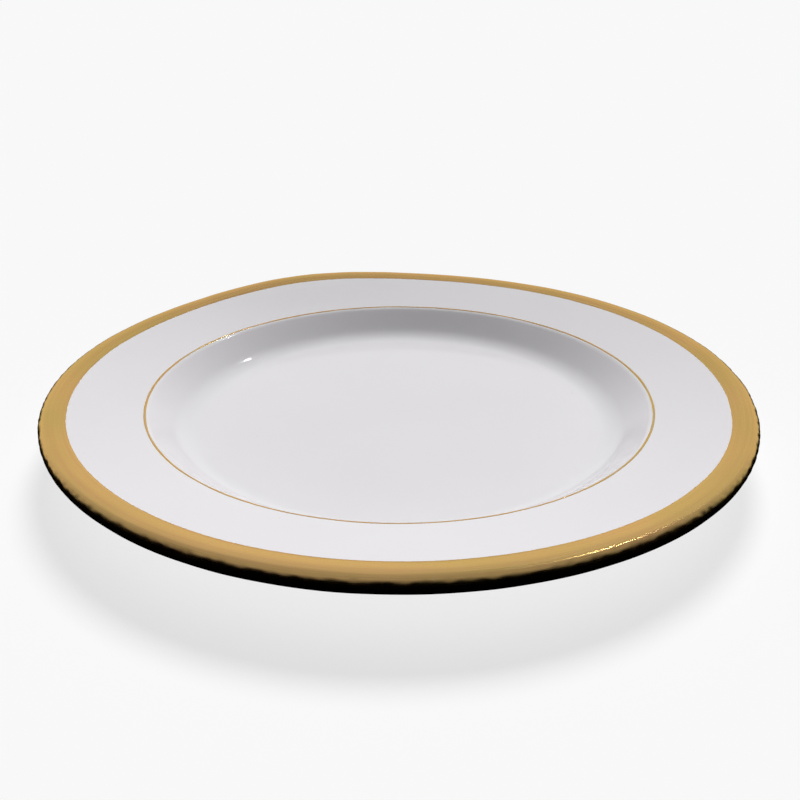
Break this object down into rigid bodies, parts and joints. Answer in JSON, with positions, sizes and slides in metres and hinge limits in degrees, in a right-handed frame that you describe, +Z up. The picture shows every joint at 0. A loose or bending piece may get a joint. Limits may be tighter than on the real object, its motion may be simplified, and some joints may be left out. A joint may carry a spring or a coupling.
{
  "type": "dinner plate",
  "caption": "Round rimmed china dinner plate with a shallow well, a foot ring, a rolled edge, a wide gold band on the rim and a thin gold line at the verge.",
  "frame": {"origin": "centre of the plane that the foot ring rests on, on the plate's axis", "axes": "+Z up along the plate's axis of revolution; X and Y are any two radial directions"},
  "size_m": [0.27, 0.27, 0.024],
  "materials": {
    "porcelain": "bare fired clay, matt",
    "glaze": "glossy glaze over white china",
    "gilding": "satin fired gold"
  },
  "bodies": {
    "root": {"porcelain_body": "porcelain", "outer_glaze": "glaze", "base_glaze": "glaze", "rim_gold_band": "gilding", "verge_gold_line": "gilding"}
  },
  "joints": []
}
